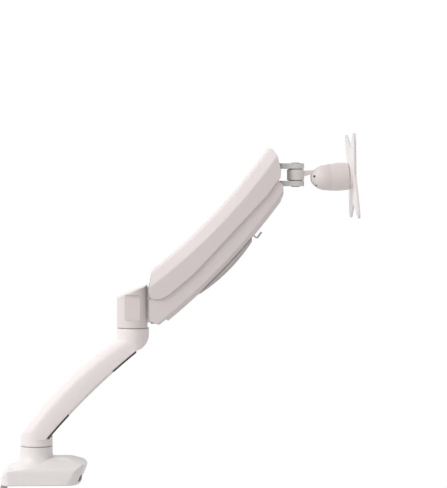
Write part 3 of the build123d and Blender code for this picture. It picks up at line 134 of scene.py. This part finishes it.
# places of a Mix node's colour sockets
mixPlaces = {"amount": 0, "first": 6, "second": 7, "result": 2}


def asTint(value):
    return value if isinstance(value, Wire) else (*value, 1.0)


def mixTint(place, amount, first, second):
    sockets = {
        mixPlaces["amount"]: amount,
        mixPlaces["first"]: asTint(first),
        mixPlaces["second"]: asTint(second),
    }
    return place.node("ShaderNodeMix", {"data_type": "RGBA"}, sockets, mixPlaces["result"])


# the surface's direction, rounded over at the edges
def softNormal(place, look):
    return place.node("ShaderNodeBevel", {"samples": look["edgeSamples"]}, {"Radius": look["edge"]})


# 0 on flat faces, up to 1 along the edges
def edgeMask(place, soft, gain):
    facing = place.node("ShaderNodeNewGeometry", output="Normal")
    same = place.node("ShaderNodeVectorMath", {"operation": "DOT_PRODUCT"}, {0: soft, 1: facing}, "Value")
    return clamped((1.0 - same) * gain)


def bumped(place, height, soft, look):
    sockets = {"Strength": look["bump"], "Distance": look["bumpDepth"], "Height": height, "Normal": soft}
    return place.node("ShaderNodeBump", sockets=sockets)


# a coated or moulded finish: a tint that drifts a little, fine texture, softened edges painted lighter, partly as
# rubbed wear and partly as a painted highlight
def coatedFinish(name, look):
    made, shader, place = newFinish(name)
    soft = softNormal(place, look)
    edges = edgeMask(place, soft, look["edgeGain"])
    drift = grain(place, look["driftScale"])
    speck = grain(place, look["texture"], look["textureDetail"])
    tint = mixTint(place, drift * look["drift"], look["tint"], look["tintTo"])
    # wear and painted highlight: the edges are mixed towards a lighter tint
    tint = mixTint(place, edges * look["rub"], tint, look["rubTint"])
    polish = edges * look["rub"] * look["rubPolish"]
    feed(shader.inputs["Base Color"], tint)
    feed(shader.inputs["Roughness"], look["rough"] + (drift - grainMiddle) * look["roughDrift"] - polish)
    feed(shader.inputs["Metallic"], look["metal"])
    feed(shader.inputs["Specular IOR Level"], look["specular"])
    feed(shader.inputs["Normal"], bumped(place, speck, soft, look))
    return made


# bare plated steel: fine scratches one way and a cloudy plating
def platedFinish(name, look):
    made, shader, place = newFinish(name)
    soft = softNormal(place, look)
    stretched = place.node("ShaderNodeMapping", sockets={"Vector": place, "Scale": look["brush"]})
    lines = grain(stretched, look["lineScale"], look["lineDetail"])
    cloud = grain(place, look["cloudScale"])
    feed(shader.inputs["Base Color"], mixTint(place, cloud, look["tint"], look["tintTo"]))
    feed(shader.inputs["Roughness"], look["rough"] + (lines - grainMiddle) * look["roughDrift"])
    feed(shader.inputs["Metallic"], look["metal"])
    feed(shader.inputs["Normal"], bumped(place, lines, soft, look))
    return made


whiteMoulding = {
    "tint": (0.86, 0.815, 0.81),
    "tintTo": (0.83, 0.785, 0.775),
    "drift": 0.6,
    "driftScale": 14.0,
    "texture": 2600.0,
    "textureDetail": 2.0,
    "bump": 0.4,
    "bumpDepth": 0.00015,
    "rough": 0.42,
    "roughDrift": 0.16,
    "edge": 0.0009,
    "edgeSamples": 6,
    "edgeGain": 6.0,
    "rub": 0.25,
    "rubTint": (0.91, 0.87, 0.865),
    "rubPolish": 0.1,
    "metal": 0.0,
    "specular": 0.5,
}
# painted shade: the white moulding tinted darker to stand for the shade on the upper arm's covers
armMoulding = dict(
    whiteMoulding,
    tint=(0.76, 0.685, 0.685),
    tintTo=(0.725, 0.65, 0.645),
    rubTint=(0.84, 0.78, 0.775),
)
# painted shade: tinted darker still to stand for the shade under the upper arm
ductMoulding = dict(
    armMoulding,
    tint=(0.56, 0.52, 0.505),
    tintTo=(0.52, 0.48, 0.465),
    rubTint=(0.66, 0.62, 0.605),
)
baseMoulding = dict(whiteMoulding, edge=0.0026, edgeGain=3.0, rub=0.12)
whiteCoat = dict(
    whiteMoulding,
    tint=(0.89, 0.825, 0.815),
    tintTo=(0.86, 0.795, 0.785),
    texture=900.0,
    bumpDepth=0.0003,
    rough=0.46,
    edge=0.0012,
)
# painted shade: the white coat tinted darker to stand for the shade on the elbow post and the head
postCoat = dict(
    whiteCoat,
    tint=(0.785, 0.715, 0.70),
    tintTo=(0.75, 0.68, 0.665),
    rubTint=(0.85, 0.79, 0.78),
)
plateCoat = dict(whiteMoulding, texture=1100.0, bumpDepth=0.00025, edge=0.0005)
greyCasting = dict(
    whiteMoulding,
    tint=(0.73, 0.725, 0.70),
    tintTo=(0.68, 0.675, 0.65),
    texture=1500.0,
    bump=0.5,
    bumpDepth=0.00025,
    rough=0.5,
    rub=0.5,
    rubTint=(0.80, 0.79, 0.765),
    edge=0.0008,
)
knuckleCoat = dict(
    greyCasting,
    tint=(0.82, 0.765, 0.745),
    tintTo=(0.78, 0.725, 0.705),
    rubTint=(0.87, 0.82, 0.80),
)
clampCoat = dict(
    greyCasting,
    tint=(0.47, 0.455, 0.455),
    tintTo=(0.41, 0.40, 0.40),
    texture=1000.0,
    rubTint=(0.58, 0.57, 0.56),
    edge=0.0007,
)
ringMoulding = dict(
    greyCasting,
    tint=(0.34, 0.33, 0.33),
    tintTo=(0.29, 0.28, 0.28),
    texture=2200.0,
    rub=0.2,
    rubTint=(0.42, 0.41, 0.41),
    edge=0.0003,
)
darkCoat = dict(
    whiteMoulding,
    tint=(0.040, 0.040, 0.043),
    tintTo=(0.055, 0.054, 0.055),
    texture=1300.0,
    bump=0.45,
    rough=0.48,
    rub=0.35,
    rubTint=(0.14, 0.14, 0.14),
    edge=0.0006,
)
darkMoulding = dict(
    darkCoat,
    tint=(0.075, 0.072, 0.072),
    tintTo=(0.095, 0.091, 0.090),
    texture=2200.0,
    rough=0.55,
    rub=0.15,
)
padRubber = dict(
    darkCoat,
    tint=(0.022, 0.022, 0.023),
    tintTo=(0.033, 0.032, 0.032),
    texture=1600.0,
    rough=0.85,
    roughDrift=0.2,
    rub=0.2,
    rubTint=(0.06, 0.058, 0.056),
    specular=0.3,
)
zincPlate = {
    "tint": (0.46, 0.46, 0.47),
    "tintTo": (0.56, 0.55, 0.53),
    "cloudScale": 60.0,
    "brush": (1.0, 1.0, 9.0),
    "lineScale": 700.0,
    "lineDetail": 4.0,
    "rough": 0.36,
    "roughDrift": 0.25,
    "bump": 0.08,
    "bumpDepth": 0.0001,
    "edge": 0.0004,
    "edgeSamples": 4,
    "metal": 1.0,
}

finishes = {
    "white_casting": coatedFinish("whiteCoat", whiteCoat),
    "white_plastic": coatedFinish("whiteMoulding", whiteMoulding),
    "grey_casting": coatedFinish("greyCasting", greyCasting),
    "pale_casting": coatedFinish("knuckleCoat", knuckleCoat),
    "white_steel": coatedFinish("plateCoat", plateCoat),
    "grey_steel": coatedFinish("clampCoat", clampCoat),
    "dark_steel": coatedFinish("darkCoat", darkCoat),
    "grey_plastic": coatedFinish("ringMoulding", ringMoulding),
    "black_plastic": coatedFinish("darkMoulding", darkMoulding),
    "black_rubber": coatedFinish("padRubber", padRubber),
    "plain_steel": platedFinish("zincPlate", zincPlate),
}
# pieces with a finish of their own: the arm covers, the cable duct and hook, and the elbow post and head carry
# darker tints that are painted shade; the base cover has wider softened edges
ownLooks = {
    "armMoulding": (armMoulding, ("top_cover", "bottom_cover")),
    "ductMoulding": (ductMoulding, ("arm_cable_duct", "cable_hook")),
    "baseMoulding": (baseMoulding, ("base_cover",)),
    "postCoat": (postCoat, ("elbow_post", "elbow_cap", "elbow_side_panels", "head_housing")),
}
ownFinishes = {}
for name, (look, pieces) in ownLooks.items():
    ownFinishes.update(dict.fromkeys(pieces, coatedFinish(name, look)))
for entry in frame["record"]["subparts"]:
    node = frame["nodes"][entry["node"]]
    node.data.materials.clear()
    node.data.materials.append(ownFinishes.get(entry["node"], finishes[entry["material_slot"]]))
print("finishes on:", len(finishes), "slots")


# how the small pieces are shaped: which faces are ends, how edges are eased and shaded
shaping = {"endNormal": 0.99, "easeSteps": 2, "easeAngle": 40.0, "smoothAngle": 35.0, "socketSides": 6}


def newRod(name, sides, radius, length):
    bpy.ops.mesh.primitive_cylinder_add(vertices=sides, radius=radius, depth=length, location=(0.0, 0.0, 0.0))
    piece = bpy.context.active_object
    piece.name = name
    piece.data.name = name
    return piece


def applyModifier(piece, modifier):
    bpy.context.view_layer.objects.active = piece
    bpy.ops.object.modifier_apply(modifier=modifier.name)


def pickEnd(piece, end):
    shape = bmesh.from_edit_mesh(piece.data)
    for face in shape.faces:
        face.select = face.normal.z * end > shaping["endNormal"]
    bmesh.update_edit_mesh(piece.data)


# insets the ends step by step, each step an inward and an upward move
def crownEnds(piece, ends, steps):
    bpy.ops.object.mode_set(mode="EDIT")
    bpy.ops.mesh.select_mode(type="FACE")
    for end in ends:
        bpy.ops.mesh.select_all(action="DESELECT")
        pickEnd(piece, end)
        for inward, rise in steps:
            bpy.ops.mesh.inset(thickness=inward, depth=rise)
    bpy.ops.object.mode_set(mode="OBJECT")


def sinkSocket(piece, radius, depth, top):
    cutter = newRod("socketCutter", shaping["socketSides"], radius, 2.0 * depth)
    cutter.location.z = top
    cut = piece.modifiers.new("socket", "BOOLEAN")
    cut.object = cutter
    cut.operation = "DIFFERENCE"
    applyModifier(piece, cut)
    bpy.data.objects.remove(cutter)


def softenEdges(piece, width):
    ease = piece.modifiers.new("ease", "BEVEL")
    ease.width = width
    ease.segments = shaping["easeSteps"]
    ease.limit_method = "ANGLE"
    ease.angle_limit = math.radians(shaping["easeAngle"])
    applyModifier(piece, ease)


# turns a rod to face a way and moves it, both within its mesh, and smooths its shading
def standAt(piece, place, facing):
    turn = Vector(facing).to_track_quat("Z", "Y").to_matrix().to_4x4()
    piece.matrix_world = Matrix.Translation(place) @ turn
    bpy.ops.object.select_all(action="DESELECT")
    bpy.context.view_layer.objects.active = piece
    piece.select_set(True)
    bpy.ops.object.transform_apply(location=True, rotation=True, scale=True)
    bpy.ops.object.shade_smooth_by_angle(angle=math.radians(shaping["smoothAngle"]))


def fitPiece(piece, body, slot):
    piece.data.materials.clear()
    piece.data.materials.append(finishes[slot])
    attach(piece, body)


def middleOf(name):
    low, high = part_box(name)
    return (Vector(low) + Vector(high)) / 2.0


# the head leans back at rest, so its small pieces are placed along and up its own axes
headAxes = {"pivot": middleOf("tilt_bolt"), "lean": math.radians(3.5)}


def onHead(along, across, up, direction=False):
    cosLean = math.cos(headAxes["lean"])
    sinLean = math.sin(headAxes["lean"])
    turned = Vector((along * cosLean - up * sinLean, across, along * sinLean + up * cosLean))
    start = Vector((headAxes["pivot"].x, 0.0, headAxes["pivot"].z))
    return turned if direction else start + turned


# two little set screws that bear on the tongue, one in each cheek: each stands square to the head's
# skin at along, across and up
tiltScrew = {
    "sides": 24,
    "radius": 0.0017,
    "length": 0.0036,
    "edge": 0.00015,
    "proud": 0.0005,
    "socket": 0.0009,
    "socketDepth": 0.0004,
    "along": -0.0108,
    "across": 0.01127,
    "up": -0.0002,
    "facing": (-0.678, 0.715, 0.171),
}


def addTiltScrews(look):
    for side, name in ((-1.0, "tiltScrewNear"), (1.0, "tiltScrewFar")):
        screw = newRod(name, look["sides"], look["radius"], look["length"])
        sinkSocket(screw, look["socket"], look["socketDepth"], look["length"] / 2.0)
        softenEdges(screw, look["edge"])
        ahead, sideways, rise = look["facing"]
        facing = onHead(ahead, side * sideways, rise, direction=True)
        skin = onHead(look["along"], side * look["across"], look["up"])
        standAt(screw, skin + facing * (look["proud"] - look["length"] / 2.0), facing)
        fitPiece(screw, "head", "dark_steel")


# a cross pin low in the head's slot that ties its two cheeks
tiltStop = {
    "sides": 24,
    "radius": 0.0015,
    "length": 0.0184,
    "ends": ((0.0003, 0.0002), (0.0004, 0.0001)),
    "along": -0.0083,
    "up": -0.0126,
}


def addTiltStop(look):
    pin = newRod("tiltStopPin", look["sides"], look["radius"], look["length"])
    crownEnds(pin, (1.0, -1.0), look["ends"])
    standAt(pin, onHead(look["along"], 0.0, look["up"]), (0.0, 1.0, 0.0))
    fitPiece(pin, "head", "dark_steel")


# low push-in caps over both ends of the swivel pin
swivelCap = {
    "sides": 40,
    "radius": 0.0062,
    "height": 0.0006,
    "edge": 0.0001,
    "steps": ((0.0012, 0.00035), (0.0016, 0.0002), (0.0008, -0.0004)),
}


def addSwivelCaps(look):
    low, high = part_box("swivel_pin")
    middle = middleOf("swivel_pin")
    for name, level, side in (("swivelCapTop", high[2], 1.0), ("swivelCapUnder", low[2], -1.0)):
        cap = newRod(name, look["sides"], look["radius"], look["height"])
        crownEnds(cap, (1.0,), look["steps"])
        softenEdges(cap, look["edge"])
        place = Vector((middle.x, middle.y, level + side * look["height"] / 2.0))
        standAt(cap, place, (0.0, 0.0, side))
        fitPiece(cap, "wrist", "grey_plastic")


addTiltScrews(tiltScrew)
addTiltStop(tiltStop)
addSwivelCaps(swivelCap)
print("small pieces added")


# floor under the lowest reach of the clamp's knob, white towards its rim so that it has no visible end
floorLook = {
    "gap": 0.002,
    "size": 3.2,
    "tint": (0.86, 0.86, 0.86),
    "rough": 0.9,
    "specular": 0.1,
    "fadeFrom": 0.35,
    "fadeTo": 0.72,
}
white = (1.0, 1.0, 1.0)


# 1 where a ray shows the surface itself, 0 where it only lights the object
def shownDirectly(wire):
    rays = ("Is Camera Ray", "Is Glossy Ray", "Is Transmission Ray")
    seen, mirrored, through = [wire.node("ShaderNodeLightPath", output=ray) for ray in rays]
    return clamped(seen + mirrored + through)


def layFloor(look):
    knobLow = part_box("clamp_knob")[0].z
    travel = next(joint for joint in frame["joints"] if joint["name"] == "clamp_travel")["range_m"]
    level = knobLow + travel[0] - look["gap"]
    middle = (cadBounds[0][0] + cadBounds[1][0]) / 2
    bpy.ops.mesh.primitive_plane_add(size=look["size"], location=(middle, 0.0, level))
    floor = bpy.context.active_object
    floor.name = "studioFloor"
    paint, shader, place = newFinish("floorPaint")
    feed(shader.inputs["Base Color"], asTint(look["tint"]))
    feed(shader.inputs["Roughness"], look["rough"])
    feed(shader.inputs["Specular IOR Level"], look["specular"])
    far = place.node("ShaderNodeVectorMath", {"operation": "LENGTH"}, {0: place}, "Value")
    fade = clamped((far - look["fadeFrom"]) / (look["fadeTo"] - look["fadeFrom"]))
    painted = Wire(paint.node_tree, shader.outputs["BSDF"])
    glow = place.node("ShaderNodeEmission", sockets={"Color": asTint(white)})
    mixed = place.node("ShaderNodeMixShader", sockets={0: fade * shownDirectly(place), 1: painted, 2: glow})
    feed(findNode(paint.node_tree, "OUTPUT_MATERIAL").inputs["Surface"], mixed)
    floor.data.materials.append(paint)


# soft daylight room: white to the camera, gentler on the object
roomLook = {"light": (1.0, 0.99, 0.985), "strength": 0.48}


def lightRoom(look):
    room = bpy.data.worlds.new("studioRoom")
    bpy.context.scene.world = room
    room.use_nodes = True
    sky = findNode(room.node_tree, "BACKGROUND")
    start = Wire(room.node_tree)
    shown = shownDirectly(start)
    feed(sky.inputs["Color"], mixTint(start, shown, look["light"], white))
    feed(sky.inputs["Strength"], shown * (1.0 - look["strength"]) + look["strength"])


# the turn that points a lamp or a camera from one place at another
def aimed(look):
    return (Vector(look["aim"]) - Vector(look["at"])).to_track_quat("-Z", "Y").to_euler()


lamps = [
    {"name": "keyLamp", "at": (-1.8, -1.0, 1.7), "aim": (0.2, 0.0, 0.3), "size": 1.5, "power": 40.0},
    {"name": "fillLamp", "at": (1.9, -1.7, 0.9), "aim": (0.25, 0.0, 0.3), "size": 1.8, "power": 3.0},
    {"name": "backLamp", "at": (-0.6, 1.7, 1.8), "aim": (0.2, 0.0, 0.3), "size": 1.6, "power": 9.0},
]


def hangLamp(look):
    bpy.ops.object.light_add(type="AREA", location=look["at"], rotation=aimed(look))
    lamp = bpy.context.active_object
    lamp.name = look["name"]
    lamp.data.size = look["size"]
    lamp.data.energy = look["power"]


layFloor(floorLook)
lightRoom(roomLook)
for lampLook in lamps:
    hangLamp(lampLook)
print("floor and room ready, lamps:", len(lamps))

# the photograph's viewpoint
view = {"at": (0.145, -2.8, 0.415), "aim": (0.262, 0.0, 0.3325), "lens": 147.5, "sensor": 36.0}
bpy.ops.object.camera_add(location=view["at"], rotation=aimed(view))
camera = bpy.context.active_object
camera.name = "photoCamera"
camera.data.lens = view["lens"]
camera.data.sensor_width = view["sensor"]
bpy.context.scene.camera = camera
bpy.context.scene.view_settings.view_transform = "Standard"

print("scene ready")
